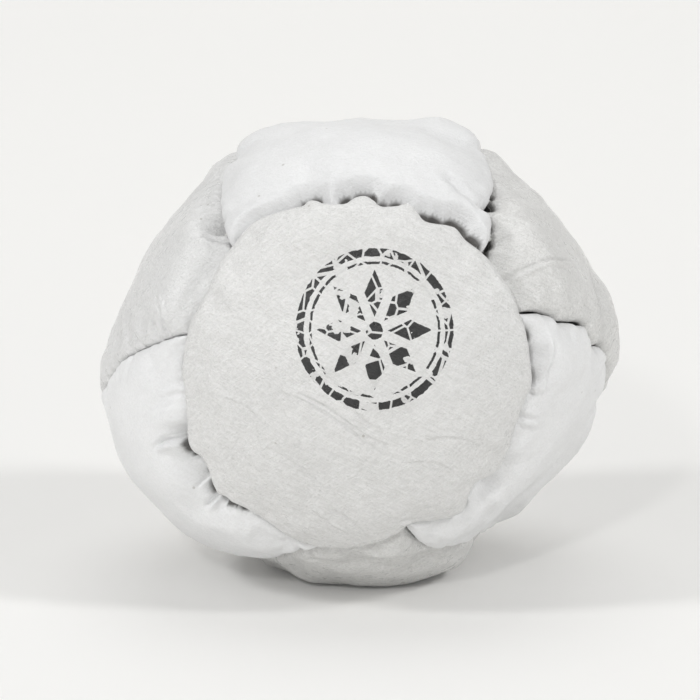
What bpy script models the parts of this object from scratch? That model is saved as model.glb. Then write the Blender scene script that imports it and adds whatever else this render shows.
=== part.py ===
# Footbag: eight leather panels, hand sewn inside out and turned, round a filling of pellets.
# The bag has slumped a little under its own weight and rests on a flat patch of its underside.
# Metres, +Z up, the front panel faces -Y, the origin is the middle of the resting patch.

from math import atan2, cos, degrees, exp, pi, radians, sin

import bmesh
import bpy
from mathutils import Vector

# The settled bag, as an egg shape that the floor cuts off in a flat patch.
BAG_WIDTH = 0.0517
BAG_DEPTH = 0.0508
BAG_HEIGHT = 0.0465
REST_RADIUS = 0.00755

# How far the bag swells out of that egg shape, or sinks into it, at the most.
SWELL = 0.0026

# Leather and its sewing.
LEATHER = 0.0007
SEAM_GAP = 0.00034
FOLD_WIDTH = 0.0003
FOLD_DROP = 0.00055
SHOULDER_WIDTH = 0.0015
SHOULDER_DROP = 0.00012
PUCKER_WIDTH = 0.00045
PUCKER_DEPTH = 0.0003
ALLOWANCE_DEPTH = 0.0035
STITCH_DEPTH = 0.0023
HOLE_SIZE = 0.0008
THREAD_SIZE = 0.0004
THREAD_CLEARANCE = 0.00022
FIRST_STITCH_LONG = 0.0029
FIRST_STITCH_SHORT = 0.0022
LONG_STITCHES = 7
SHORT_STITCHES = 2

# The filling keeps clear of the leather and of the seam allowances. Over each seam it has
# a channel with sloping sides and a rounded lip.
FILL_CLEARANCE = 0.0005
CHANNEL_SLOPE = 0.0006
CHANNEL_LIP_DROP = 0.0006

# The rings of points round a panel's middle: the share of the way to its seam, the points.
RINGS = ((0.28, 14), (0.55, 28), (0.8, 28))
FILL_LONG_STEPS = 6
FILL_SHORT_STEPS = 2

# The twelve places where three seams meet, as azimuth and elevation in degrees.
# Azimuth 0 looks to the front, -Y, and 90 to the right, +X.
JUNCTION_ANGLES = {
    "top_front_right": (36.0, 33.0),
    "right_front": (41.0, 18.5),
    "bottom_front_right": (13.0, -36.0),
    "bottom_front_left": (-10.0, -43.0),
    "left_front": (-44.5, 12.5),
    "top_front_left": (-40.0, 34.5),
    "top_rear": (180.0, 61.0),
    "back_top": (180.0, 42.0),
    "right_rear": (111.0, -23.0),
    "back_right": (132.0, -18.0),
    "left_rear": (-112.0, -28.0),
    "back_left": (-134.0, -22.0),
}

# Each seam: its two ends, and the panels on its left and right seen from outside.
LONG_SEAMS = {
    "thread_front_top": ("top_front_right", "top_front_left", "panel_front", "panel_top"),
    "thread_front_left": ("left_front", "bottom_front_left", "panel_front", "panel_lower_left"),
    "thread_front_right": ("bottom_front_right", "right_front", "panel_front", "panel_lower_right"),
    "thread_right_top": ("top_rear", "top_front_right", "panel_upper_right", "panel_top"),
    "thread_right_side": ("right_front", "right_rear", "panel_upper_right", "panel_lower_right"),
    "thread_right_back": ("back_right", "back_top", "panel_upper_right", "panel_back"),
    "thread_left_top": ("top_front_left", "top_rear", "panel_upper_left", "panel_top"),
    "thread_left_side": ("left_rear", "left_front", "panel_upper_left", "panel_lower_left"),
    "thread_left_back": ("back_top", "back_left", "panel_upper_left", "panel_back"),
    "thread_under_right": ("right_rear", "bottom_front_right", "panel_underside", "panel_lower_right"),
    "thread_under_left": ("bottom_front_left", "left_rear", "panel_underside", "panel_lower_left"),
    "thread_under_back": ("back_left", "back_right", "panel_underside", "panel_back"),
}
SHORT_SEAMS = {
    "thread_short_front_right": ("right_front", "top_front_right", "panel_front", "panel_upper_right"),
    "thread_short_front_left": ("top_front_left", "left_front", "panel_front", "panel_upper_left"),
    "thread_short_front_under": (
        "bottom_front_left", "bottom_front_right", "panel_front", "panel_underside",
    ),
    "thread_short_rear_top": ("top_rear", "back_top", "panel_upper_left", "panel_upper_right"),
    "thread_short_rear_right": ("back_right", "right_rear", "panel_underside", "panel_upper_right"),
    "thread_short_rear_left": ("left_rear", "back_left", "panel_underside", "panel_upper_left"),
}
SEAMS = {**LONG_SEAMS, **SHORT_SEAMS}

# How far a seam bows towards its right panel, in degrees. The others run straight.
BOW_ANGLES = {
    "thread_front_top": 9.0,
    "thread_front_left": 8.0,
    "thread_front_right": 9.5,
    "thread_right_top": -9.0,
    "thread_right_side": -6.0,
    "thread_left_top": -9.0,
    "thread_left_side": -6.0,
    "thread_under_right": -5.0,
    "thread_under_left": -5.0,
}

# How finely a seam's course is measured.
SEAM_SAMPLES = 48

# Four round panels in warm leather and four three-cornered ones in cool leather.
ROUND_PANELS = ("panel_front", "panel_upper_right", "panel_upper_left", "panel_underside")
CORNER_PANELS = ("panel_top", "panel_lower_right", "panel_lower_left", "panel_back")

# Where the bag is fuller or flatter than the egg shape: azimuth, elevation, height as a share
# of SWELL, and the angle over which it fades. The swell fades out at the resting patch too.
SWELLS = {
    "front": (-2.4, 5.0, -0.85, 33.0),
    "upper_right": (95.0, 25.0, -0.46, 27.0),
    "right_tip": (91.0, 7.0, 0.36, 16.0),
    "right_shoulder": (113.0, 62.0, 0.38, 18.0),
    "upper_left": (-95.0, 25.0, -0.67, 27.0),
    "left_shoulder": (-112.0, 60.0, 0.32, 18.0),
    "lower_right": (60.0, -25.0, -1.0, 27.0),
    "lower_right_foot": (80.0, -44.0, -0.5, 18.0),
    "lower_left": (-68.0, -25.0, 0.35, 27.0),
    "left_side": (-92.0, -6.0, 0.2, 16.0),
}
REST_FADE_ANGLE = 27.0

# Sizes that follow from those above.
HALF_GAP = SEAM_GAP / 2
HOLE_TOP = STITCH_DEPTH - HOLE_SIZE / 2
HOLE_BOTTOM = STITCH_DEPTH + HOLE_SIZE / 2
WEAVE = HALF_GAP + LEATHER + THREAD_CLEARANCE + THREAD_SIZE / 2
CHANNEL_WIDTH = WEAVE + THREAD_SIZE / 2 + FILL_CLEARANCE
SEAM_RADIUS = (BAG_WIDTH + BAG_DEPTH + BAG_HEIGHT) / 6 - STITCH_DEPTH
CENTRE_HEIGHT = BAG_HEIGHT / 2 * (1 - (2 * REST_RADIUS / BAG_DEPTH) ** 2) ** 0.5
REST_ANGLE = atan2(REST_RADIUS, CENTRE_HEIGHT)
CENTRE = Vector((0.0, 0.0, CENTRE_HEIGHT))
DOWN = Vector((0.0, 0.0, -1.0))


def direction(azimuth, elevation):
    a = radians(azimuth)
    e = radians(elevation)
    return Vector((sin(a) * cos(e), -cos(a) * cos(e), sin(e)))


def turn_towards(start, end, share):
    # The direction that lies a share of the way along the arc from start to end.
    angle = start.angle(end)
    if angle == 0.0:
        return start.copy()
    return (start * sin((1 - share) * angle) + end * sin(share * angle)) / sin(angle)


def panel_seams(panel):
    # The seams round a panel, counterclockwise seen from outside: the junction where each
    # begins, its name, and whether it is written in that direction.
    following = {}
    for name, (start, end, left, right) in SEAMS.items():
        if left == panel:
            following[start] = (name, end, True)
        if right == panel:
            following[end] = (name, start, False)
    corner = min(following)
    loop = []
    for _ in following:
        name, after, forward = following[corner]
        loop.append((corner, name, forward))
        corner = after
    return loop


def panel_pole(panel):
    # The direction that a panel's rings of points go round: its middle, or straight down.
    if panel == "panel_underside":
        return DOWN
    total = Vector()
    for corner, name, forward in panel_seams(panel):
        for i in range(SEAM_SAMPLES):
            total += seam_direction(name, i / SEAM_SAMPLES) * seam_length(name)
    return total.normalized()


def base_radius(way):
    # The bag's radius along a direction: the egg shape, its swells and the floor.
    stretch = Vector((2 * way.x / BAG_WIDTH, 2 * way.y / BAG_DEPTH, 2 * way.z / BAG_HEIGHT))
    radius = 1 / stretch.length
    fade = degrees(way.angle(DOWN) - REST_ANGLE) / REST_FADE_ANGLE
    fade = min(1.0, max(0.0, fade))
    for azimuth, elevation, share, reach in SWELLS.values():
        angle = degrees(way.angle(direction(azimuth, elevation)))
        radius += SWELL * share * fade * exp(-(angle / reach) ** 4)
    if way.z < 0:
        radius = min(radius, CENTRE_HEIGHT / -way.z)
    return radius


def surface_point(way, drop):
    return CENTRE + way * (base_radius(way) - drop)


def seam_course(name, share):
    # A point of a seam as a direction: an arc between its junctions that bows to one side.
    start, end, left, right = SEAMS[name]
    begin = direction(*JUNCTION_ANGLES[start])
    finish = direction(*JUNCTION_ANGLES[end])
    bow = radians(BOW_ANGLES.get(name, 0.0))
    rightwards = finish.cross(begin).normalized()
    way = turn_towards(begin, finish, share)
    return (way + rightwards * (bow * sin(pi * share))).normalized()


def seam_direction(name, share, side=0.0):
    # The same, moved square to the seam by side metres towards its left panel.
    way = seam_course(name, share)
    step = 1 / SEAM_SAMPLES
    along = seam_course(name, share + step) - seam_course(name, share - step)
    leftwards = way.cross(along).normalized()
    return (way + leftwards * (side / SEAM_RADIUS)).normalized()


def seam_length(name):
    points = [seam_direction(name, i / SEAM_SAMPLES) for i in range(SEAM_SAMPLES + 1)]
    return sum(a.angle(b) for a, b in zip(points, points[1:])) * SEAM_RADIUS


def stitch_shares(name):
    # Where the stitches pass through a seam, as shares of its length.
    length = seam_length(name)
    count = LONG_STITCHES
    first = FIRST_STITCH_LONG
    if name in SHORT_SEAMS:
        count = SHORT_STITCHES
        first = FIRST_STITCH_SHORT
    step = (length - 2 * first) / (count - 1)
    return [(first + i * step) / length for i in range(count)]


def panel_edge(panel, kinds):
    # The directions round a panel's edge, each with its kind. With "folds" there is a point
    # at each stitch and one between stitches, and with "holes" one on either side of a hole.
    edge = []
    for corner, name, forward in panel_seams(panel):
        side = HALF_GAP if forward else -HALF_GAP
        half = HOLE_SIZE / 2 / seam_length(name)
        shares = stitch_shares(name)
        if not forward:
            half = -half
            shares.reverse()
        edge.append([direction(*JUNCTION_ANGLES[corner]), "corner"])
        for i, share in enumerate(shares):
            if kinds == "holes":
                edge.append([seam_direction(name, share - half, side), "hole"])
                edge.append([seam_direction(name, share + half, side), "land"])
            else:
                if i > 0:
                    middle = (share + shares[i - 1]) / 2
                    edge.append([seam_direction(name, middle, side), "land"])
                edge.append([seam_direction(name, share, side), "stitch"])
    # A corner is eased between the stitches on either side of it.
    for i, (way, kind) in enumerate(edge):
        if kind == "corner":
            before = edge[i - 1][0]
            after = edge[(i + 1) % len(edge)][0]
            edge[i] = [(way * 2 + before + after).normalized(), kind]
    return edge


def row_at(pole, edge, width, drop, pucker_width=0.0, pucker_drop=0.0):
    # A row of points beside the edge, width metres inside it, drawn in at each stitch.
    row = []
    for way, kind in edge:
        pucker = 1.0 if kind == "stitch" else 0.0
        inwards = (width + pucker_width * pucker) / SEAM_RADIUS
        inner = turn_towards(way, pole, inwards / way.angle(pole))
        row.append(surface_point(inner, drop + pucker_drop * pucker))
    return row


def bearing(way, pole, start):
    # The angle of a direction round the pole, counterclockwise from the start direction.
    east = (start - pole * start.dot(pole)).normalized()
    north = pole.cross(east)
    return atan2(way.dot(north), way.dot(east)) % (2 * pi)


def edge_angle(pole, edge, turn):
    # How far the edge lies from the pole at a bearing.
    start = edge[0][0]
    marks = [(bearing(way, pole, start), way.angle(pole)) for way, kind in edge[1:]]
    marks = [(0.0, start.angle(pole))] + marks + [(2 * pi, start.angle(pole))]
    for (turn_a, angle_a), (turn_b, angle_b) in zip(marks, marks[1:]):
        if turn <= turn_b:
            return angle_a + (angle_b - angle_a) * (turn - turn_a) / (turn_b - turn_a)
    return angle_b


def ring_at(panel, edge, share, count, drop):
    # A ring of points round the pole. The underside's first ring bounds its resting patch.
    pole = POLES[panel]
    start = edge[0][0]
    east = (start - pole * start.dot(pole)).normalized()
    north = pole.cross(east)
    first_share = RINGS[0][0]
    ring = []
    for i in range(count):
        turn = 2 * pi * i / count
        rim = edge_angle(pole, edge, turn)
        first = REST_ANGLE if panel == "panel_underside" else first_share * rim
        angle = first + (rim - first) * (share - first_share) / (1 - first_share)
        outwards = east * cos(turn) + north * sin(turn)
        ring.append(surface_point(pole * cos(angle) + outwards * sin(angle), drop))
    return ring


def add_row(mesh, points):
    return [mesh.verts.new(point) for point in points]


def row_turns(row, pole, start):
    turns = [bearing(vertex.co - CENTRE, pole, start) for vertex in row[1:]]
    return [0.0] + turns + [2 * pi]


def join_rows(mesh, inner, outer, pole, start, skip=()):
    # Faces between two closed rows that run the same way, whatever their counts.
    if len(inner) == len(outer):
        for i in range(len(inner)):
            j = (i + 1) % len(inner)
            if i not in skip:
                mesh.faces.new((inner[i], outer[i], outer[j], inner[j]))
        return
    inner_turns = row_turns(inner, pole, start)
    outer_turns = row_turns(outer, pole, start)
    i = 0
    j = 0
    while i < len(inner) or j < len(outer):
        a = inner[i % len(inner)]
        b = outer[j % len(outer)]
        if j == len(outer) or (i < len(inner) and inner_turns[i + 1] < outer_turns[j + 1]):
            i += 1
            mesh.faces.new((a, b, inner[i % len(inner)]))
        else:
            j += 1
            mesh.faces.new((a, b, outer[j % len(outer)]))


def add_cap(mesh, middle, ring):
    centre = mesh.verts.new(middle)
    for i in range(len(ring)):
        mesh.faces.new((centre, ring[i], ring[(i + 1) % len(ring)]))


def finish_object(name, mesh, material):
    data = bpy.data.meshes.new(name)
    mesh.to_mesh(data)
    mesh.free()
    data.shade_smooth()
    data.materials.append(material)
    item = bpy.data.objects.new(name, data)
    bpy.context.collection.objects.link(item)
    return item


def make_material(name, colour, roughness):
    material = bpy.data.materials.new(name)
    material.use_nodes = True
    shader = material.node_tree.nodes["Principled BSDF"]
    shader.inputs["Base Color"].default_value = (*colour, 1.0)
    shader.inputs["Roughness"].default_value = roughness
    shader.inputs["Metallic"].default_value = 0.0
    return material


def build_panel(panel, material):
    # A domed panel whose edge turns in along the seam and ends in the raw seam allowance.
    pole = POLES[panel]
    folds = panel_edge(panel, "folds")
    edge = panel_edge(panel, "holes")
    start = edge[0][0]
    mesh = bmesh.new()
    rows = [ring_at(panel, edge, share, count, 0.0) for share, count in RINGS]
    rows.append(row_at(pole, folds, SHOULDER_WIDTH, SHOULDER_DROP, 0.0, PUCKER_DEPTH / 2))
    rows.append(row_at(pole, folds, FOLD_WIDTH, FOLD_DROP, PUCKER_WIDTH, PUCKER_DEPTH))
    rows.append(row_at(pole, edge, 0.0, HOLE_TOP))
    rows = [add_row(mesh, row) for row in rows]
    add_cap(mesh, surface_point(pole, 0.0), rows[0])
    for inner, outer in zip(rows, rows[1:]):
        join_rows(mesh, inner, outer, pole, start)
    below = add_row(mesh, row_at(pole, edge, 0.0, HOLE_BOTTOM))
    holes = [i for i, (way, kind) in enumerate(edge) if kind == "hole"]
    join_rows(mesh, rows[-1], below, pole, start, holes)
    raw_edge = add_row(mesh, row_at(pole, edge, 0.0, ALLOWANCE_DEPTH))
    join_rows(mesh, below, raw_edge, pole, start)
    item = finish_object(panel, mesh, material)
    shell = item.modifiers.new("Leather", "SOLIDIFY")
    shell.thickness = LEATHER
    shell.offset = -1.0
    shell.use_even_offset = True
    return item


def build_thread(name, material):
    # A running stitch that weaves through both seam allowances, from one side to the other.
    side = WEAVE
    points = []
    for share in stitch_shares(name):
        radius = base_radius(seam_direction(name, share)) - STITCH_DEPTH
        for offset in (side, -side):
            points.append(CENTRE + seam_direction(name, share, offset) * radius)
        side = -side
    curve = bpy.data.curves.new(name, "CURVE")
    curve.dimensions = "3D"
    curve.bevel_depth = THREAD_SIZE / 2
    curve.bevel_resolution = 0
    curve.use_fill_caps = True
    spline = curve.splines.new("POLY")
    spline.points.add(len(points) - 1)
    for place, point in zip(spline.points, points):
        place.co = point.to_4d()
    curve.materials.append(material)
    item = bpy.data.objects.new(name, curve)
    bpy.context.collection.objects.link(item)
    return item


def clear_direction(way, pole, width, seam_ways):
    # Goes from the edge of a panel towards its middle until every seam is width away.
    reach = cos(width / SEAM_RADIUS)
    share = 0.0
    while share < 1.0:
        moved = turn_towards(way, pole, share)
        if max(moved.dot(other) for other in seam_ways) <= reach:
            return moved
        share += 1 / SEAM_SAMPLES / 4
    return pole


def build_fill(material):
    # The pellets as one body that fills the bag, with a channel under every seam.
    depth = LEATHER + FILL_CLEARANCE
    floor_depth = ALLOWANCE_DEPTH + FILL_CLEARANCE
    mesh = bmesh.new()
    for panel, pole in POLES.items():
        edge = []
        seam_ways = []
        for corner, name, forward in panel_seams(panel):
            steps = FILL_SHORT_STEPS if name in SHORT_SEAMS else FILL_LONG_STEPS
            for i in range(steps):
                share = i / steps if forward else 1 - i / steps
                edge.append([seam_direction(name, share), "land"])
            seam_ways += [seam_direction(name, i / SEAM_SAMPLES) for i in range(SEAM_SAMPLES)]
        rows = [ring_at(panel, edge, share, count, depth) for share, count in RINGS]
        lip = []
        foot = []
        for way, kind in edge:
            clear = clear_direction(way, pole, CHANNEL_WIDTH + CHANNEL_SLOPE, seam_ways)
            lip.append(surface_point(clear, depth + CHANNEL_LIP_DROP))
            clear = clear_direction(way, pole, CHANNEL_WIDTH, seam_ways)
            foot.append(surface_point(clear, floor_depth))
        rows += [lip, foot, row_at(pole, edge, 0.0, floor_depth)]
        rows = [add_row(mesh, row) for row in rows]
        add_cap(mesh, surface_point(pole, depth), rows[0])
        for inner, outer in zip(rows, rows[1:]):
            join_rows(mesh, inner, outer, pole, edge[0][0])
    bmesh.ops.remove_doubles(mesh, verts=mesh.verts, dist=THREAD_SIZE / 100)
    return finish_object("pellet_fill", mesh, material)


for item in list(bpy.data.objects):
    bpy.data.objects.remove(item, do_unlink=True)

POLES = {}
for panel in ROUND_PANELS + CORNER_PANELS:
    POLES[panel] = panel_pole(panel)

warm_leather = make_material("warm_white_leather", (0.68, 0.67, 0.65), 0.45)
cool_leather = make_material("cool_white_leather", (0.76, 0.77, 0.79), 0.5)
white_thread = make_material("white_thread", (0.8, 0.8, 0.78), 0.7)
clear_pellets = make_material("plastic_pellets", (0.7, 0.7, 0.68), 0.4)

for panel in ROUND_PANELS:
    build_panel(panel, warm_leather)
for panel in CORNER_PANELS:
    build_panel(panel, cool_leather)
for name in SEAMS:
    build_thread(name, white_thread)
build_fill(clear_pellets)
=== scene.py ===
from math import cos, pi, radians, sin

import bmesh
import bpy
import numpy as np
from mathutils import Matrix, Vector
from mathutils.geometry import delaunay_2d_cdt
from mathutils.kdtree import KDTree


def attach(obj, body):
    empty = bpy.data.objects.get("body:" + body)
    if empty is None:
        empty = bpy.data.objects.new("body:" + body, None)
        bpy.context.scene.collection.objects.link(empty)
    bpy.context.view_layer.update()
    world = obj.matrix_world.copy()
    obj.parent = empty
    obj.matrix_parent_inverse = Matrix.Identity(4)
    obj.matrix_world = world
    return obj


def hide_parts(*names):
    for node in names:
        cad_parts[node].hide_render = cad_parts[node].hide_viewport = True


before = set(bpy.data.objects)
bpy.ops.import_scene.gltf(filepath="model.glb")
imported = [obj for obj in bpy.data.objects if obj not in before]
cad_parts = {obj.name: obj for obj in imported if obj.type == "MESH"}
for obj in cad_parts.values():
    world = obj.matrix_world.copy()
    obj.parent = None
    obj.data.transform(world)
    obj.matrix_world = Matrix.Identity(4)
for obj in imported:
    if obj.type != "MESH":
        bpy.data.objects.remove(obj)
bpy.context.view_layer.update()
print("frame loaded,", len(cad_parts), "nodes")

mm = 0.001    # shapes are worked out in millimetres, and made in metres

# the settled bag: an egg shape that the floor cuts off, and where it is fuller or flatter
bag = {
    "across": (51.7, 50.8, 46.5),
    "restRadius": 7.55,
    "restFade": 27.0,     # degrees over which the swells fade in above the resting patch
    # azimuth and elevation of each swelling, its height and its reach in degrees
    "swells": (
        (-2.4, 5.0, -2.2, 33.0),
        (95.0, 25.0, -1.2, 27.0),
        (91.0, 7.0, 1.15, 11.0),
        (113.0, 62.0, 1.3, 12.5),
        (-95.0, 25.0, -1.75, 27.0),
        (-112.0, 60.0, 0.9, 15.0),
        (60.0, -25.0, -2.6, 27.0),
        (80.0, -42.0, -1.1, 18.0),
        (78.0, -54.0, -0.9, 9.0),
        (86.0, -20.0, -0.75, 9.0),
        (-68.0, -25.0, 0.9, 27.0),
        (-92.0, -6.0, 0.6, 12.0),
        (5.0, -60.0, -1.4, 14.0),
    ),
}
halfAcross = np.array(bag["across"]) / 2
centreHeight = halfAcross[2] * (1 - (bag["restRadius"] / halfAcross[1]) ** 2) ** 0.5
centre = np.array((0.0, 0.0, centreHeight))
restAngle = np.degrees(np.arctan2(bag["restRadius"], centreHeight))
ballRadius = halfAcross.mean()


def unit(ways):
    return ways / np.linalg.norm(ways, axis=-1, keepdims=True)


def direction(azimuth, elevation):
    a = np.radians(azimuth)
    e = np.radians(elevation)
    return np.stack((np.sin(a) * np.cos(e), -np.cos(a) * np.cos(e), np.sin(e)), axis=-1)


def angleBetween(ways, way):
    return np.arccos(np.clip(ways @ way, -1.0, 1.0))


def bagRadius(ways):
    # how far the bag's skin is from its centre along each direction
    radius = 1 / np.linalg.norm(ways / halfAcross, axis=-1)
    down = np.array((0.0, 0.0, -1.0))
    fade = np.clip((np.degrees(angleBetween(ways, down)) - restAngle) / bag["restFade"], 0.0, 1.0)
    for azimuth, elevation, height, reach in bag["swells"]:
        angle = np.degrees(angleBetween(ways, direction(azimuth, elevation)))
        radius = radius + height * fade * np.exp(-(angle / reach) ** 4)
    fall = -np.minimum(ways[..., 2], -0.01)
    floorRadius = np.where(fall > 0.01, centreHeight / fall, 1e9)
    return np.minimum(radius, floorRadius)


# the photograph's camera: pixels of the photo are turned into places on the bag with it
view = {
    "elevation": 12.0,
    "distance": 350.0,
    "focal": 180.0, "sensor": 36.0,
    "bagPixel": (361.0, 352.0),
    "frame": 700.0,
    "search": (-45.0, 30.0, 600),    # where a ray is followed, and in how many steps
    "seamDrop": 0.7, "creaseDrop": 0.2,    # how deep under the skin a pixel's place lies
}
tilt = radians(view["elevation"])
forward = np.array((0.0, cos(tilt), -sin(tilt)))
rightward = np.array((1.0, 0.0, 0.0))
upward = np.cross(rightward, forward)
pixelsPerUnit = view["focal"] / view["sensor"] * view["frame"]
middle = view["frame"] / 2
perPixel = view["distance"] / pixelsPerUnit
eye = (centre - forward * view["distance"]
       - rightward * ((view["bagPixel"][0] - middle) * perPixel)
       + upward * ((view["bagPixel"][1] - middle) * perPixel))


def onBag(pixels, drop=view["seamDrop"]):
    # directions of the places on the bag that show at these pixels, drop mm under its skin
    ways = []
    nearest, furthest, count = view["search"]
    steps = np.linspace(view["distance"] + nearest, view["distance"] + furthest, count)
    for x, y in pixels:
        ray = unit(forward + rightward * ((x - middle) / pixelsPerUnit)
                   + upward * ((middle - y) / pixelsPerUnit))
        points = eye + ray * steps[:, None] - centre
        far = np.linalg.norm(points, axis=1)
        outside = far - (bagRadius(points / far[:, None]) - drop)
        inside = np.nonzero(outside < 0)[0]
        i = inside[0] if len(inside) else int(np.argmin(outside))
        ways.append(points[i] / far[i])
    return np.array(ways)


# where three seams meet: pixels of the photo, or azimuth and elevation round the back
corners = {
    "topFrontRight": ("photo", 483, 252),
    "rightFront": ("photo", 520, 311),
    "bottomFrontRight": ("photo", 405, 531),
    "bottomFrontLeft": ("photo", 331, 549),
    "leftFront": ("photo", 186, 334),
    "topFrontLeft": ("photo", 228, 249),
    "topRear": ("round", 180.0, 61.0),
    "backTop": ("round", 180.0, 42.0),
    "rightRear": ("round", 111.0, -23.0),
    "backRight": ("round", 132.0, -18.0),
    "leftRear": ("round", -112.0, -28.0),
    "backLeft": ("round", -134.0, -22.0),
}

# each seam: its ends, the panels on its left and right seen from outside, the pixels that it
# runs through in the photo, then the places round the back that it runs through
seams = {
    "front_top": {
        "ends": ("topFrontLeft", "topFrontRight"), "sides": ("top", "front"),
        "photo": ((236, 240), (245, 231), (256, 223), (270, 216.5), (288, 211), (303, 206.5),
            (307, 203.5), (314, 201.5), (321, 202.5), (327, 206), (336, 207), (345, 206.5),
            (349, 204), (353, 200.5), (361, 198), (369, 199), (376, 203.5), (380.5, 208.5),
            (390, 209), (396, 207.5), (403, 205), (409, 206), (415, 210), (420, 217), (424, 221.5),
            (432, 224), (450, 226), (457, 229.5), (465, 238), (473, 245)),
    },
    "front_left": {
        "ends": ("leftFront", "bottomFrontLeft"), "sides": ("front", "lowerLeft"),
        "photo": ((183, 348), (181, 362), (181, 376), (182.5, 391), (184.5, 404), (185.5, 417),
            (186, 429), (187, 440), (190, 448.5), (194, 453), (199.5, 457), (204, 464),
            (207.5, 471), (209, 477), (213, 486), (218, 494.5), (226, 498), (232, 502.5),
            (243, 507), (252, 512), (262, 519), (272, 526), (284, 534), (298, 541), (315, 546)),
    },
    "front_right": {
        "ends": ("bottomFrontRight", "rightFront"), "sides": ("front", "lowerRight"),
        "photo": ((409, 526), (417, 522.5), (430, 521.5), (444, 519), (456, 514.5), (463, 510),
            (467.5, 502), (471, 492), (474, 485), (479, 481), (488, 477.5), (495, 472.5),
            (500.5, 466), (503.5, 458), (508, 449), (512, 439), (514, 430), (518, 420), (522, 409),
            (526.5, 399), (529.5, 392), (532, 385), (532.5, 376), (531, 363), (530, 350),
            (528, 338), (524.5, 325)),
    },
    "right_top": {
        "ends": ("topFrontRight", "topRear"), "sides": ("top", "upperRight"),
        "photo": ((489, 247.5), (493.5, 240), (496, 231), (495.5, 222), (491.5, 214), (486, 208.5),
            (485.5, 206), (491, 202.5), (495.5, 195), (497.5, 187), (497, 178), (493.5, 169),
            (490, 160), (486, 152)),
        "round": ((103.0, 59.5), (130.0, 57.5), (156.0, 60.0)),
    },
    "right_side": {
        "ends": ("rightFront", "rightRear"), "sides": ("upperRight", "lowerRight"),
        "photo": ((530, 311), (541, 310.5), (550, 312), (557, 316), (563, 320.5), (572, 320.5),
            (582, 322), (590, 324), (593, 332), (596.5, 342), (599, 346), (604, 344.5), (608, 348),
            (610.5, 357)),
        "round": ((88.0, -8.0), (99.0, -14.0)),
    },
    "right_back": {
        "ends": ("backRight", "backTop"), "sides": ("upperRight", "back"),
        "round": ((145.0, 2.0), (160.0, 24.0)),
    },
    "left_top": {
        "ends": ("topFrontLeft", "topRear"), "sides": ("upperLeft", "top"),
        "photo": ((225, 240), (222, 231), (219.5, 220), (218, 210), (217.5, 200), (218, 190),
            (219.5, 180), (222, 168)),
        "round": ((-81.0, 56.5), (-103.0, 58.5), (-130.0, 57.0), (-156.0, 60.0)),
    },
    "left_side": {
        "ends": ("leftRear", "leftFront"), "sides": ("upperLeft", "lowerLeft"),
        "round": ((-99.0, -19.0), (-86.0, -9.5)),
        "photo": ((109, 379), (115, 369), (121, 361), (129, 354.5), (139, 350), (150, 345),
            (160, 340.5), (170, 337.5), (178, 335)),
    },
    "left_back": {
        "ends": ("backTop", "backLeft"), "sides": ("upperLeft", "back"),
        "round": ((-161.0, 22.0), (-147.0, -1.0)),
    },
    "under_right": {
        "ends": ("rightRear", "bottomFrontRight"), "sides": ("underside", "lowerRight"),
        "round": ((112.0, -36.0), (103.0, -47.0), (86.0, -56.0)),
        "photo": ((480, 538.5), (473, 543), (465, 547), (456, 549.5), (446, 551.5), (436, 553),
            (428, 552), (421, 548.5), (413, 541)),
    },
    "under_left": {
        "ends": ("bottomFrontLeft", "leftRear"), "sides": ("underside", "lowerLeft"),
        "photo": ((322, 552), (310, 555), (296, 557), (284, 559.5), (274, 563)),
        "round": ((-84.0, -57.5), (-99.0, -44.0)),
    },
    "under_back": {
        "ends": ("backLeft", "backRight"), "sides": ("underside", "back"),
        "round": ((-157.0, -30.0), (178.0, -33.0), (155.0, -28.0)),
    },
    "short_front_right": {
        "ends": ("rightFront", "topFrontRight"), "sides": ("front", "upperRight"),
        "photo": ((513, 293), (503, 277), (493, 263)),
    },
    "short_front_left": {
        "ends": ("topFrontLeft", "leftFront"), "sides": ("front", "upperLeft"),
        "photo": ((220, 262), (211, 280), (202, 299), (192, 318)),
    },
    "short_front_under": {
        "ends": ("bottomFrontLeft", "bottomFrontRight"), "sides": ("front", "underside"),
        "photo": ((345, 549.5), (360, 548), (374, 545.5), (386, 541.5), (396, 536)),
    },
    "short_rear_top": {
        "ends": ("topRear", "backTop"), "sides": ("upperLeft", "upperRight"),
    },
    "short_rear_right": {
        "ends": ("backRight", "rightRear"), "sides": ("underside", "upperRight"),
    },
    "short_rear_left": {
        "ends": ("leftRear", "backLeft"), "sides": ("underside", "upperLeft"),
    },
}

# the sewing: how far apart the stitches are, and how the leather scallops between them, in mm
sewing = {
    "stitch": 4.2, "uneven": 0.35,
    "scallop": 0.42, "scallopShare": (0.3, 1.0),
    "scallopFade": 3.0,    # the scallops set in this far past what the photo shows
    "hiddenFirst": ("left_side", "under_right"),    # seams that start round the back
    "gap": 0.1,
    # how wide a seam gapes between its stitches, and where it is another width
    "gape": 0.14, "gapeShare": (0.2, 1.0),
    "wide": {"left_side": 0.02, "right_top": 0.32, "right_side": 0.3, "front_top": 0.2,
             "front_left": 0.22, "front_right": 0.18, "under_right": 0.25,
             "short_front_left": 0.2},
    "step": 0.12,
    "allowance": 3.4,
    "paintedShadeFull": 0.8,       # an opening this wide has its edge fully darkened with painted shade
    "cutCorner": 0.85,     # how near its seam a drawn-back edge may come, as a share of the gap
}
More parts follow.
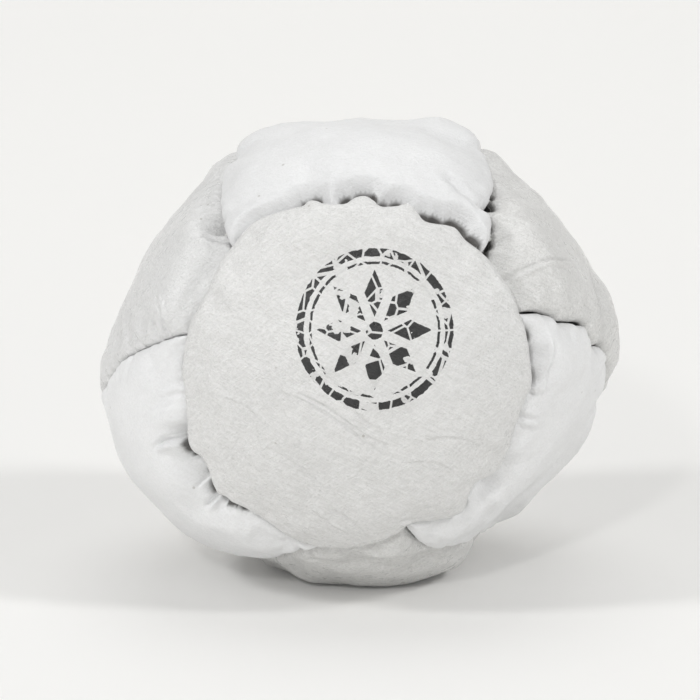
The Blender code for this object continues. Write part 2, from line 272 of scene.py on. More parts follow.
# where a seam stands open: the panel that is drawn back from it, how far painted shade darkens its
# edge in mm, then a pixel of the photo, how far the opening runs to either side of it and its
# width, in mm
openings = {
    "front_top": ("top", 0.36, (
        ((304, 205), 0.6, 1.0), ((314, 203), 0.4, 0.9), ((352, 201), 0.5, 1.1),
        ((365, 199), 0.9, 1.1), ((378, 205), 0.6, 1.2), ((400, 207), 0.8, 0.9),
        ((420, 217), 1.0, 1.2), ((438, 225), 1.2, 1.3), ((456, 229), 1.2, 1.3),
        ((470, 242), 1.2, 1.2),
    )),
    "right_top": ("upperRight", 0.15, (
        ((490, 246), 1.2, 0.75), ((496, 232), 1.2, 0.8), ((493, 217), 1.0, 0.7),
        ((486, 207), 0.8, 0.9), ((494, 197), 1.0, 0.7), ((497, 184), 1.2, 0.5),
    )),
    "front_left": ("lowerLeft", 0.25, (
        ((187, 443), 0.7, 1.2), ((191, 450), 0.5, 1.6), ((197, 456), 0.7, 1.2),
        ((205, 466), 0.7, 0.9), ((209, 479), 0.8, 1.4), ((216, 492), 0.8, 1.4),
        ((222, 497), 0.5, 1.5), ((231, 503), 0.5, 1.1), ((242, 507), 0.5, 0.8),
    )),
    "front_right": ("lowerRight", 0.15, (
        ((500, 467), 0.8, 0.8), ((488, 477), 1.0, 1.0), ((475, 485), 0.8, 1.1),
        ((469, 499), 0.8, 1.1), ((463, 510), 0.6, 0.8), ((532, 378), 1.0, 0.8),
        ((530, 356), 1.4, 0.8), ((528, 338), 1.0, 0.7),
    )),
}
noOpening = ("", 0.0, ())
noiseRandom = np.random.default_rng(11)


def cornerWay(name):
    kind, a, b = corners[name]
    return onBag([(a, b)])[0] if kind == "photo" else direction(a, b)


def smoothThrough(points, step):
    # a curve through the points, resampled to even steps
    padded = np.vstack((2 * points[0] - points[1], points, 2 * points[-1] - points[-2]))
    line = []
    for i in range(1, len(padded) - 2):
        a, b, c, d = padded[i - 1:i + 3]
        count = max(2, int(np.linalg.norm(c - b) * ballRadius / step * 2))
        t = np.linspace(0, 1, count, endpoint=False)[:, None]
        line.append(0.5 * (2 * b + (c - a) * t + (2 * a - 5 * b + 4 * c - d) * t ** 2
                           + (3 * b - a - 3 * c + d) * t ** 3))
    line = unit(np.vstack(line + [points[-1:]]))
    return evenly(line, step)


def lengthsAlong(line):
    hops = np.linalg.norm(np.diff(line, axis=0), axis=1) * ballRadius
    return np.concatenate(([0.0], np.cumsum(hops)))


def evenly(line, step):
    far = lengthsAlong(line)
    marks = np.linspace(0, far[-1], max(8, int(round(far[-1] / step))) + 1)
    return unit(np.stack([np.interp(marks, far, line[:, k]) for k in range(3)], axis=1))


def sideways(line):
    # the unit vector to the left of the line at each of its points, seen from outside
    along = np.gradient(line, axis=0)
    return unit(np.cross(line, along))


def seamLine(name):
    # the course of a seam, with scallops between the stitches where the photo doesn't show it
    seam = seams[name]
    start, end = (cornerWay(corner) for corner in seam["ends"])
    shown = onBag(seam["photo"]) if "photo" in seam else np.zeros((0, 3))
    hidden = direction(*np.array(seam["round"]).T) if "round" in seam else np.zeros((0, 3))
    isHiddenFirst = name in sewing["hiddenFirst"]
    order = (hidden, shown) if isHiddenFirst else (shown, hidden)
    line = smoothThrough(np.vstack((start[None], *order, end[None])), sewing["step"])
    far = lengthsAlong(line)
    fromShown = far[-1] - far if isHiddenFirst else far
    shownReach = 0.0
    if len(shown):
        lastShown = shown[0] if isHiddenFirst else shown[-1]
        shownReach = fromShown[int(np.argmax(line @ lastShown))] if len(hidden) else far[-1]
    count = max(2, int(round(far[-1] / sewing["stitch"])))
    marks = np.linspace(0, far[-1], count + 1)
    marks[1:-1] += noiseRandom.uniform(-sewing["uneven"], sewing["uneven"], count - 1)
    heights = noiseRandom.uniform(*sewing["scallopShare"], count) * sewing["scallop"]
    heights[::2] *= -1
    i = np.clip(np.searchsorted(marks, far, side="right") - 1, 0, count - 1)
    within = (far - marks[i]) / (marks[i + 1] - marks[i])
    scallop = heights[i] * np.sin(pi * within)
    scallop *= np.clip((fromShown - shownReach) / sewing["scallopFade"], 0.0, 1.0)
    line = unit(line + sideways(line) * (scallop / ballRadius)[:, None])
    gapes = noiseRandom.uniform(*sewing["gapeShare"], count)
    gapes = gapes * sewing["wide"].get(name, sewing["gape"])
    gape = gapes[i] * np.sin(pi * within) ** 2
    drawnBack = np.zeros(len(line))
    for pixel, reach, width in openings.get(name, noOpening)[2]:
        mark = far[int(np.argmax(line @ onBag([pixel])[0]))]
        drawnBack = np.maximum(drawnBack, width * np.exp(-abs((far - mark) / reach) ** 3))
    return {"line": line, "marks": marks, "gape": gape, "drawnBack": drawnBack, "far": far}


lines = {name: seamLine(name) for name in seams}
print("seams laid out")

# how a panel turns in at its edge: the depth and width of a tight fold, then the depth and reach
# of a slower fall, in mm, and how far the fold's ridge is crisp instead of round
edges = {
    "fold": (0.95, 1.1, 0.9, 2.8, 0.0),
    "blend": 1.2,    # mm over which one seam's turn goes over into the next one's
    # where a panel turns in differently along one seam
    "own": {
        "front": {
            "front_top": (1.3, 1.05, 0.1, 2.0, 0.0),
            "front_left": (0.85, 1.0, 0.3, 2.0, 0.0),
            "front_right": (0.75, 1.0, 0.25, 2.0, 0.0),
            "short_front_left": (0.8, 1.0, 0.25, 2.0, 0.0),
            "short_front_right": (0.8, 1.0, 0.25, 2.0, 0.0),
            "short_front_under": (0.9, 1.1, 0.4, 2.0, 0.0),
        },
        "top": {
            "front_top": (2.0, 1.7, 0.3, 3.4, 0.7),
            "right_top": (1.2, 1.3, 0.5, 2.6, 0.0),
            "left_top": (1.0, 1.2, 0.5, 2.6, 0.0),
        },
        "lowerLeft": {
            "front_left": (0.9, 0.9, 0.9, 3.0, 0.1),
            "left_side": (0.6, 0.9, 0.5, 2.4, 0.0),
        },
        "lowerRight": {
            "front_right": (1.0, 0.9, 0.9, 2.6, 0.1),
        },
        "upperLeft": {
            "short_front_left": (1.3, 1.2, 1.7, 4.0, 0.0),
            "left_side": (0.7, 0.8, 0.5, 2.4, 0.1),
            "left_top": (1.2, 1.2, 1.3, 3.4, 0.1),
        },
        "upperRight": {
            "short_front_right": (1.3, 1.2, 1.7, 4.2, 0.0),
            "right_top": (1.1, 1.1, 1.4, 3.4, 0.1),
            "right_side": (1.0, 1.0, 0.7, 2.6, 0.0),
        },
        "underside": {
            "under_right": (1.2, 1.1, 1.2, 3.0, 0.0),
            "under_left": (1.2, 1.1, 1.2, 3.0, 0.0),
            "short_front_under": (1.3, 1.1, 1.2, 3.0, 0.0),
        },
    },
}
# the small folds along the seams: their depth, width and reach in mm and their slant, each with
# the least and the most of it that a fold may have
puckering = {
    "atStitches": ((-0.3, 0.5, 1.5), (0.42, 0.7, 1.4), (1.9, 0.6, 1.5), (1.0, -0.4, 0.4)),
    "fine": ((0.085, -1.3, 1.0), (0.17, 0.7, 1.6), (1.1, 0.5, 1.8), (1.0, -0.5, 0.5)),
    "fineEvery": 0.55,
    "within": (5.0, -0.6, 7.0),    # it ends this far to either side, outwards and inwards
    "share": {"front": 0.35, "upperRight": 0.6, "lowerLeft": 1.3},
}
# how uneven the leather lies: heights in mm, each with the lengths of its waves
rough = ((0.13, (5.0, 12.0)), (0.035, (2.0, 4.5)), (0.011, (0.8, 1.8)))
roughWaves = 20
# how finely a panel is made, in mm between its points
grid = {
    "step": 0.44,
    "rimStep": 0.18,
    "rows": (0.05, 0.12, 0.21, 0.33, 0.48, 0.66, 0.88, 1.14),
    "fullRows": 4,         # the rows past these have every second point
    "rowClear": 0.86,      # a row keeps this share of its distance off all of the rim
    "rowHeight": 0.866,    # of a row of even triangles, as a share of their side
    "fineReach": 2.8,      # half the step this near a seam
    "creaseReach": 0.9,    # or this near a crease
    "narrow": 0.3,         # a crease narrower than this gets rows of its own
    "coarse": {"underside": 1.3, "back": 1.3},
}


def panelLoop(panel):
    # the panel's seams in order, counterclockwise seen from outside
    following = {}
    for name, seam in seams.items():
        start, end = seam["ends"]
        if seam["sides"][0] == panel:
            following[start] = (name, end, True)
        if seam["sides"][1] == panel:
            following[end] = (name, start, False)
    corner = min(following)
    loop = []
    for _ in following:
        name, after, isForward = following[corner]
        loop.append((name, isForward))
        corner = after
    return loop


def noiseWaves(points, lengths, count, seed):
    # a smooth random height, about 1 at the most, from waves that run in all directions
    random = np.random.default_rng(seed)
    total = np.zeros(len(points))
    for _ in range(count):
        run = unit(random.normal(size=3)) * 2 * pi / random.uniform(*lengths)
        total += np.sin(points @ run + random.uniform(0, 2 * pi))
    return total / count ** 0.5


def smoothRound(values, spread):
    # averages a closed row of values over a few neighbours
    reach = int(spread * 3)
    weights = np.exp(-(np.arange(-reach, reach + 1) / spread) ** 2 / 2)
    wrapped = np.concatenate((values[-reach:], values, values[:reach]))
    return np.convolve(wrapped, weights / weights.sum(), mode="valid")


def panelRim(panel):
    # a panel's rim in even steps, how it turns in and how far painted shade darkens it at each,
    # and where it is sewn
    ways, turns, paintedShadeReach, stitches = [], [], [], []
    for name, isForward in panelLoop(panel):
        seam = lines[name]
        owner, paintedSeamShade, _ = openings.get(name, noOpening)
        order = slice(None) if isForward else slice(None, None, -1)
        side = sideways(seam["line"])[order] * (1 if isForward else -1)
        drawnBack = seam["drawnBack"][order] * (owner == panel)
        gape = (sewing["gap"] + seam["gape"][order]) / 2 + drawnBack
        line = unit(seam["line"][order] + side * gape[:, None] / ballRadius)
        # where the drawn-back edge would cross itself, it cuts the corner
        near = np.arccos(np.clip((line @ seam["line"].T).max(axis=1), -1, 1)) * ballRadius
        isClear = near > sewing["cutCorner"] * gape
        isClear[[0, -1]] = True
        ways.append(line[isClear][:-1])
        turn = edges["own"].get(panel, {}).get(name, edges["fold"])
        turns.append(np.tile(turn, (len(ways[-1]), 1)))
        paintedShadeReach.append(paintedSeamShade * np.minimum(drawnBack[isClear][:-1] / sewing["paintedShadeFull"], 1.0))
        for mark in seam["marks"][:-1]:
            stitches.append(seam["line"][int(np.argmin(abs(seam["far"] - mark)))])
    ways = np.vstack(ways)
    far = lengthsAlong(np.vstack((ways, ways[:1])))
    count = int(far[-1] / grid["rimStep"])
    marks = np.linspace(0, far[-1], count, endpoint=False)

    def evenedOut(columns):
        return [np.interp(marks, far, np.append(column, column[0])) for column in columns]

    rim = unit(np.stack(evenedOut(ways.T), axis=1))
    spread = edges["blend"] / (far[-1] / count)
    turns = evenedOut(np.vstack(turns).T)
    turns = np.stack([smoothRound(column, spread) for column in turns], axis=1)
    paintedShadeReach = evenedOut([np.concatenate(paintedShadeReach)])[0]
    return rim, turns, paintedShadeReach, stitches


def flatAxes(pole):
    side = unit(np.cross(pole, (0.31, 0.42, 0.85)))
    return side, np.cross(pole, side)


def layFlat(ways, pole):
    # the panel's directions laid out flat round its pole, in mm
    side, ahead = flatAxes(pole)
    out = ways - pole * (ways @ pole)[:, None]
    out = out / np.maximum(np.linalg.norm(out, axis=1), 1e-9)[:, None]
    out = out * angleBetween(ways, pole)[:, None] * ballRadius
    return np.stack((out @ side, out @ ahead), axis=1)


def foldBack(places, pole):
    side, ahead = flatAxes(pole)
    far = np.linalg.norm(places, axis=1)[:, None]
    out = (places[:, :1] * side + places[:, 1:] * ahead) / np.maximum(far, 1e-9)
    return unit(pole * np.cos(far / ballRadius) + out * np.sin(far / ballRadius))


def lattice(flatRim, step, pole):
    # even triangles of points all over a panel laid out flat, with the row and column of each
    low, high = flatRim.min(axis=0), flatRim.max(axis=0)
    x, y = np.meshgrid(np.arange(low[0], high[0], step),
                       np.arange(low[1], high[1], step * grid["rowHeight"]))
    row, column = np.indices(x.shape)
    x = x + row % 2 * step / 2
    ways = foldBack(np.stack((x.ravel(), y.ravel()), axis=1), pole)
    return ways, row.ravel(), column.ravel()


def inParts(ways, size=3000):
    # slices of a long row of points, which keep the tables of distances small
    return [slice(start, start + size) for start in range(0, len(ways), size)]


def inwardsFrom(rim):
    # the unit vector into the panel at each step of its rim
    return sideways(np.vstack((rim[-1:], rim, rim[:1])))[1:-1]


def rimDistance(ways, rim):
    # how far each point is from the rim in mm, and whether it is inside
    nearest = np.zeros(len(ways), int)
    for part in inParts(ways, 4000):
        nearest[part] = (ways[part] @ rim.T).argmax(axis=1)
    rimPoints = rim * ballRadius
    foot = rimPoints[nearest]
    offset = ways * ballRadius - foot
    best = np.linalg.norm(offset, axis=1)
    isInside = (offset * inwardsFrom(rim)[nearest]).sum(axis=1) > 0
    for hop in (-1, 1):
        run = rimPoints[(nearest + hop) % len(rim)] - foot
        share = np.clip((offset * run).sum(axis=1) / (run * run).sum(axis=1), 0, 1)
        best = np.minimum(best, np.linalg.norm(offset - run * share[:, None], axis=1))
    return best, isInside


def panelPoints(panel, rim, pole):
    # the rim, rows that follow it inwards, then an even lattice, finer by seams and creases
    inwards = inwardsFrom(rim)
    kept = [rim]
    for k, row in enumerate(grid["rows"]):
        hop = 1 if k < grid["fullRows"] else 2
        ways = unit(rim + inwards * row / ballRadius)[k % hop::hop]
        distance, isInside = rimDistance(ways, rim)
        kept.append(ways[isInside & (distance > row * grid["rowClear"])])
    step = grid["step"] * grid["coarse"].get(panel, 1.0) / 2
    ways, row, column = lattice(layFlat(rim, pole), step, pole)
    isCoarse = (row % 2 == 0) & ((column + row // 2 % 2) % 2 == 0)
    distance, isInside = rimDistance(ways, rim)
    isKept = isInside & (distance > grid["rows"][-1] + 0.1)
    isFine = distance < grid["fineReach"]
    besideCreases = []
    for pixels, _, width, _ in creases.get(panel, ()):
        places = onBag(pixels, view["creaseDrop"])
        line = smoothThrough(places, 0.3)
        reach = (grid["creaseReach"] + width) / ballRadius
        isFine |= (ways @ line.T).max(axis=1) > np.cos(reach)
        if width < grid["narrow"]:
            line = smoothThrough(places, 0.2)
            out = np.linspace(-1.5, 1.5, 7) * width / ballRadius
            rows = unit(line[None] + sideways(line)[None] * out[:, None, None]).reshape(-1, 3)
            distance, isInside = rimDistance(rows, rim)
            besideCreases.append(rows[isInside & (distance > 0.15)])
    return np.vstack((*kept, ways[isKept & (isCoarse | isFine)], *besideCreases))


def joinPoints(ways, rimCount, pole):
    # triangles between the points, all inside the rim
    places = [Vector(place) for place in layFlat(ways, pole).tolist()]
    made = delaunay_2d_cdt(places, [], [list(range(rimCount))], 1, 1e-7)
    source = [origin[0] if origin else -1 for origin in made[3]]
    faces = np.array([[source[i] for i in face] for face in made[2]])
    faces = faces[(faces >= 0).all(axis=1)]
    used = np.zeros(len(ways), bool)
    used[faces.ravel()] = True
    used[:rimCount] = True
    return used, (np.cumsum(used) - 1)[faces]


def turnIn(ways, distance, rim, turns):
    # how deep each point lies because the panel turns in towards its seams
    mixed = np.zeros((len(ways), turns.shape[1]))
    for part in inParts(ways):
        away = np.arccos(np.clip(ways[part] @ rim[::3].T, -1, 1)) * ballRadius
        spread = 0.1 + 0.3 * distance[part]
        weights = np.exp(-(away - away.min(axis=1)[:, None]) / spread[:, None])
        mixed[part] = weights @ turns[::3] / weights.sum(axis=1)[:, None]
    fold, foldWidth, fall, fallReach, crisp = mixed.T
    part = np.clip(distance / foldWidth, 0, 1)
    steep = np.clip(1 - distance / foldWidth, 0, None)
    tight = fold * ((1 - crisp) * (1 - np.sqrt(1 - (1 - part) ** 2)) + crisp * steep ** 1.15)
    return tight + fall * np.exp(-(distance / fallReach) ** 1.3)


def puckers(panel, ways, rim, stitches, seed):
    # folds that run in from the stitches, and finer ones all along the rim
    random = np.random.default_rng(seed)
    inwards = inwardsFrom(rim)

    def drawn(sizes):
        return [size * random.uniform(low, high) for size, low, high in sizes]

    folds = [(int(np.argmax(rim @ way)), *drawn(puckering["atStitches"])) for way in stitches]
    around = lengthsAlong(np.vstack((rim, rim[:1])))[-1]
    for _ in range(int(around / puckering["fineEvery"])):
        folds.append((random.integers(len(rim)), *drawn(puckering["fine"])))
    height = np.zeros(len(ways))
    toSide, out, far = puckering["within"]
    for i, depth, width, reach, slant in folds:
        offset = (ways - rim[i]) * ballRadius
        along = offset @ unit(np.cross(inwards[i], rim[i]))
        inside = offset @ inwards[i]
        near = (abs(along) < toSide) & (inside > out) & (inside < far)
        along, inside = along[near], inside[near]
        past = np.maximum(inside, 0)
        across = (along - slant * inside) / (width * (1 + past / 2))
        height[near] += depth * np.exp(-across ** 2) * np.exp(-(past / reach) ** 1.5)
    return height * puckering["share"].get(panel, 1.0)


# folds that the photo shows on each panel: the pixels along one, its depth and its width in mm,
# and how high the leather is pushed up beside it
creases = {
    "lowerLeft": (
        (((190, 454), (183, 451), (176, 446.5), (168, 443), (160, 443),
          (153, 447)), 0.5, 0.24, 0.5),
        (((188, 449), (180, 444), (171, 439.5), (162, 438.5), (155, 441)), 0.22, 0.2, 0.4),
        (((192, 458), (185, 461), (178, 467)), -0.2, 0.2, 0.2),
        (((190, 455), (183, 457), (175, 462)), 0.25, 0.18, 0.3),
        (((198, 460), (193, 464), (188, 471)), 0.2, 0.18, 0.6),
        (((203, 468), (196, 471), (188, 477)), 0.1, 0.2, 0.6),
        (((210, 481), (203, 481), (196, 485), (190, 492)), 0.32, 0.2, 0.5),
        (((216, 493), (209, 492), (203, 495)), 0.25, 0.18, 0.5),
        (((220, 499), (213, 501), (207, 505), (202, 510)), 0.45, 0.22, 0.5),
        (((224, 500), (220, 506), (217, 513)), 0.35, 0.18, 0.7),
        (((232, 504), (230, 509), (229, 515)), 0.3, 0.18, 0.6),
        (((241, 508), (241, 513), (243, 518)), 0.15, 0.18, 0.5),
        (((187, 399), (176, 396.5), (165, 397), (156, 402), (149, 411)), 0.17, 0.35, 0.4),
        (((186, 388), (175, 383), (164, 386), (157, 393)), 0.12, 0.3, 0.4),
        (((187, 407), (174, 404), (163, 407), (154, 417)), 0.12, 0.3, 0.4),
        (((178, 372), (168, 374), (160, 381)), 0.07, 0.3, 0.4),
    ),
    "upperLeft": (
        (((155, 297), (158, 309), (160.5, 323), (163, 339)), 0.28, 0.26, 0.35),
        (((147, 321), (150, 331), (154, 343)), 0.3, 0.4, 0.3),
        (((131, 335), (135, 342), (139, 350)), 0.22, 0.3, 0.3),
        (((219, 188), (211, 190), (204, 195)), 0.22, 0.3, 0.4),
        (((223, 231), (212, 231.5), (201, 230), (192, 232)), 0.25, 0.35, 0.4),
        (((165, 275), (154, 279), (146, 285)), 0.07, 0.35, 0.3),
    ),
    "top": (
        (((484, 206), (476, 199), (464, 191), (452, 181), (444, 172)), 0.22, 0.75, 0.3),
        (((376, 203), (376.5, 193), (373, 181)), -0.16, 0.28, 0.3),
        (((352, 200), (350, 194), (351, 187)), 0.1, 0.2, 0.4),
    ),
    "upperRight": (
        (((570, 261), (560, 260.5), (545, 261), (533, 264.5), (523, 269.5), (512, 274),
          (501, 279)), 0.14, 0.22, 1.1),
        (((566, 270), (556, 267), (545, 266), (536, 269)), 0.06, 0.25, 0.5),
    ),
    "lowerRight": (
        (((551, 338), (551, 352), (549, 368), (546, 384), (543, 398)), -0.35, 0.42, 0.1),
        (((540, 342), (540, 358), (538, 374), (534, 388)), 0.12, 0.3, 0.2),
        (((529, 392), (536, 393.5), (543, 396)), 0.25, 0.3, 0.3),
        (((519, 414), (528, 419), (539, 421)), 0.12, 0.3, 0.5),
        (((516, 427), (525, 428), (534, 432)), 0.1, 0.3, 0.5),
        (((469, 500), (478, 502), (489, 505)), 0.08, 0.5, 0.3),
    ),
    "front": (
        (((413, 521), (406, 520.5), (399, 522.5)), 0.1, 0.25, 0.4),
        (((471, 447), (480, 446), (488, 451), (493, 461)), 0.07, 0.7, 0.4),
        (((286, 394), (303, 400), (322, 411), (342, 424), (361, 437),
          (386, 457)), 0.04, 0.14, 1.2),
        (((300, 393), (322, 404), (345, 420), (368, 436), (392, 446)), 0.035, 0.13, 1.2),
        (((330, 392), (348, 404), (366, 421), (384, 431)), 0.03, 0.12, 1.2),
        (((222, 396), (243, 405), (262, 419), (279, 438)), 0.025, 0.13, 1.2),
        (((318, 512), (331, 522), (345, 531), (358, 537)), 0.03, 0.13, 1.2),
        (((306, 505), (322, 514), (340, 527), (352, 538)), 0.025, 0.12, 1.2),
        (((330, 504), (344, 513), (357, 524), (366, 534)), 0.03, 0.13, 1.2),
        (((425, 440), (446, 437), (466, 440), (481, 447)), 0.03, 0.14, 1.2),
        (((404, 462), (425, 461), (444, 466), (459, 477)), 0.025, 0.13, 1.2),
        (((268, 447), (292, 459), (314, 475), (330, 493)), 0.02, 0.13, 1.2),
        (((238, 440), (231, 455), (220, 467)), 0.025, 0.14, 1.2),
        (((248, 447), (240, 462), (230, 473)), 0.02, 0.13, 1.2),
    ),
}
creaseStrength = 2.0
creaseStep = 0.25
# broad hollows, or swells where the depth is below 0: a pixel, then reach and depth in mm
dents = {
    "lowerLeft": (
        ((178, 438), 1.1, 2.3), ((171, 422), 1.4, -0.6), ((188, 470), 1.6, 1.9),
        ((204, 490), 1.1, 2.2), ((214, 506), 0.8, 1.4), ((172, 405), 1.8, 0.25),
    ),
    "upperLeft": (
        ((210, 214), 1.5, 1.9), ((206, 240), 1.6, 0.5), ((146, 340), 1.1, 0.45),
        ((163, 330), 1.0, 0.3), ((204, 268), 2.2, 0.5),
    ),
    "upperRight": (
        ((506, 262), 2.2, 1.2), ((535, 257), 1.3, 0.3), ((556, 254), 1.3, 0.25),
        ((504, 225), 1.7, 0.6), ((500, 176), 1.2, 0.5), ((530, 297), 2.0, 0.4),
        ((556, 288), 2.6, -0.35),
    ),
    "lowerRight": (
        ((538, 352), 1.2, 0.6), ((539, 374), 1.2, 0.7), ((528, 418), 1.4, 0.35),
        ((491, 491), 1.6, 1.9), ((515, 510), 2.0, -0.3), ((507, 474), 1.4, 0.4),
        ((445, 533), 1.2, 0.2),
    ),
    "front": (
        ((352, 278), 6.0, 0.45), ((350, 220), 3.6, -0.9), ((303, 230), 3.2, -0.6),
        ((402, 228), 3.4, -0.8), ((262, 226), 2.2, -0.3), ((440, 240), 2.2, -0.25),
    ),
    "underside": (
        ((430, 565), 1.6, 0.6),
    ),
}
# fine gathers across the front edge of the top panel, from one pixel column to another
gathers = {"from": 256, "to": 336, "every": 4.5, "depth": 0.09, "width": 0.13, "ridge": 0.5}


def gatherStrokes():
    random = np.random.default_rng(77)
    seamPixels = np.array(seams["front_top"]["photo"])
    strokes = []
    for x in np.arange(gathers["from"], gathers["to"], gathers["every"]):
        x += random.uniform(-1.2, 1.2)
        y = np.interp(x, seamPixels[:, 0], seamPixels[:, 1])
        pixels = ((x, y + 1), (x - 0.6, y - 5), (x - 1.5, y - random.uniform(9, 15)))
        depth = gathers["depth"] * random.uniform(0.5, 1.5)
        strokes.append((pixels, depth, gathers["width"], gathers["ridge"]))
    return strokes


def marksOf(panel, ways):
    # the creases and dents of one panel, as heights
    height = np.zeros(len(ways))
    points = ways * ballRadius
    strokes = [*creases.get(panel, ()), *(gatherStrokes() if panel == "top" else ())]
    for pixels, depth, width, ridge in strokes:
        line = smoothThrough(onBag(pixels, view["creaseDrop"]), creaseStep) * ballRadius
        away = np.linalg.norm(points[:, None] - line[None], axis=2)
        near = away.min(axis=1) < 6 * width + 1
        i = np.clip(away.argmin(axis=1)[near], 1, len(line) - 2)
        run = unit(line[i + 1] - line[i - 1])
        offset = points[near] - line[i]
        across = (offset * np.cross(unit(line[i]), run)).sum(axis=1)
        along = i + (offset * run).sum(axis=1) / creaseStep
        part = np.clip(along / (len(line) - 1), -0.2, 1.2)
        taper = np.clip((part + 0.12) / 0.3, 0, 1) * np.clip((1.12 - part) / 0.45, 0, 1)
        taper = taper ** 2 * (3 - 2 * taper)
        shape = -np.exp(-(across / width) ** 2)
        shape += ridge * np.exp(-((across - 1.9 * width) / (1.3 * width)) ** 2)
        height[near] += creaseStrength * depth * taper * shape
    for pixel, reach, depth in dents.get(panel, ()):
        bottom = onBag([pixel], view["creaseDrop"])[0] * ballRadius
        away = np.linalg.norm(points - bottom, axis=1)
        height -= depth * np.exp(-(away / reach) ** 2)
    return height


def newObject(name, data, **settings):
    for key, value in settings.items():
        setattr(data, key, value)
    item = bpy.data.objects.new(name, data)
    bpy.context.scene.collection.objects.link(item)
    return item


# the leather as cloth: made larger for the solver, sewn down at its rim and blown up a little
cloth = {
    "enlarge": 20.0, "step": 0.8, "pinEvery": 4, "clear": 0.7, "frames": 20,
    "solver": {
        "quality": 6, "mass": 0.2, "vertex_group_mass": "sewn", "air_damping": 3.0,
        "tension_stiffness": 15.0, "compression_stiffness": 15.0, "shear_stiffness": 8.0,
        "bending_stiffness": 0.4, "use_pressure": True, "uniform_pressure_force": 2.0,
        "shrink_min": -0.05, "shrink_max": -0.05,
    },
    "broad": 2.2,       # rises longer than this are left to the shapes above, in mm
    "soften": 0.62,     # of a step, over which the cloth's points are blended
    "rimFade": 1.2, "most": 0.6,
    "share": {"front": 0.5, "top": 0.3, "upperRight": 0.7, "lowerRight": 0.7, "lowerLeft": 0.9},
}


def clothPiece(panel):
    rim, turns, _, _ = panelRim(panel)
    pole = unit(rim.mean(axis=0))
    pins = rim[::cloth["pinEvery"]]
    ways, _, _ = lattice(layFlat(pins, pole), cloth["step"], pole)
    distance, isInside = rimDistance(ways, rim)
    ways = np.vstack((pins, ways[isInside & (distance > cloth["clear"] * cloth["step"])]))
    used, faces = joinPoints(ways, len(pins), pole)
    ways = ways[used]
    distance, _ = rimDistance(ways, rim)
    radius = bagRadius(ways) - turnIn(ways, distance, rim, turns)
    data = bpy.data.meshes.new(panel + "Cloth")
    points = ways * radius[:, None] * mm * cloth["enlarge"]
    data.from_pydata(points.tolist(), [], faces.tolist())
    item = newObject(panel + "Cloth", data)
    item.vertex_groups.new(name="sewn").add(list(range(len(pins))), 1.0, "REPLACE")
    modifier = item.modifiers.new("cloth", "CLOTH")
    for key, value in cloth["solver"].items():
        setattr(modifier.settings, key, value)
    modifier.settings.effector_weights.gravity = 0.0
    modifier.collision_settings.use_collision = False
    modifier.point_cache.frame_start = 1
    modifier.point_cache.frame_end = cloth["frames"]
    return item, ways, radius, distance


def simulateLeather():
    # how far the wrinkles lift each panel at the points of its cloth
    pieces = {panel: clothPiece(panel) for panel in panels}
    for frameNumber in range(1, cloth["frames"] + 1):
        bpy.context.scene.frame_set(frameNumber)
    graph = bpy.context.evaluated_depsgraph_get()
    wrinkles = {}
    for panel, (item, ways, radius, distance) in pieces.items():
        settled = item.evaluated_get(graph).to_mesh()
        places = np.zeros(len(settled.vertices) * 3)
        settled.vertices.foreach_get("co", places)
        places = places.reshape(-1, 3) / (mm * cloth["enlarge"])
        rise = np.linalg.norm(places, axis=1) - radius
        flatWays = ways.astype(np.float32)
        near = np.exp((flatWays @ flatWays.T - 1) * 2 * (ballRadius / cloth["broad"]) ** 2)
        lift = rise - near @ rise / near.sum(axis=1)
        lift = np.clip(lift * cloth["share"].get(panel, 1.0), -cloth["most"], cloth["most"])
        wrinkles[panel] = (ways, lift * np.clip(distance / cloth["rimFade"], 0, 1))
        clothMesh = item.data
        bpy.data.objects.remove(item)
        bpy.data.meshes.remove(clothMesh)
    bpy.context.scene.frame_set(1)
    return wrinkles


def wrinkleLift(ways, panel):
    # the cloth's wrinkles at a finer mesh's points
    clothWays, lift = (part.astype(np.float32) for part in wrinkles[panel])
    ways = ways.astype(np.float32)
    height = np.zeros(len(ways))
    sharpness = 2 * (ballRadius / (cloth["soften"] * cloth["step"])) ** 2
    for part in inParts(ways):
        weights = np.exp((ways[part] @ clothWays.T - 1) * sharpness) + 1e-9
        height[part] = weights @ lift / weights.sum(axis=1)
    return height


# each panel is a shell of leather whose edge turns straight down into the seam
sheet = {
    "thickness": 0.7,
    "inland": 3.0,      # the broadest unevenness is all there this far from the rim
    "wall": (0.05, 0.2, 0.55, 1.0),    # the turned edge's rows of points, as shares of its depth
    # the painted seam shade fades out over this many mm
    "paintedShadeBlend": 0.24,
    "floor": 0.02,      # nothing lies lower
}
leatherSkins = []    # what the filling may not press through


def makeMesh(name, points, faces, material):
    data = bpy.data.meshes.new(name)
    data.from_pydata([tuple(point) for point in points * mm], [], faces)
    data.shade_smooth()
    data.materials.append(material)
    return newObject(name, data)


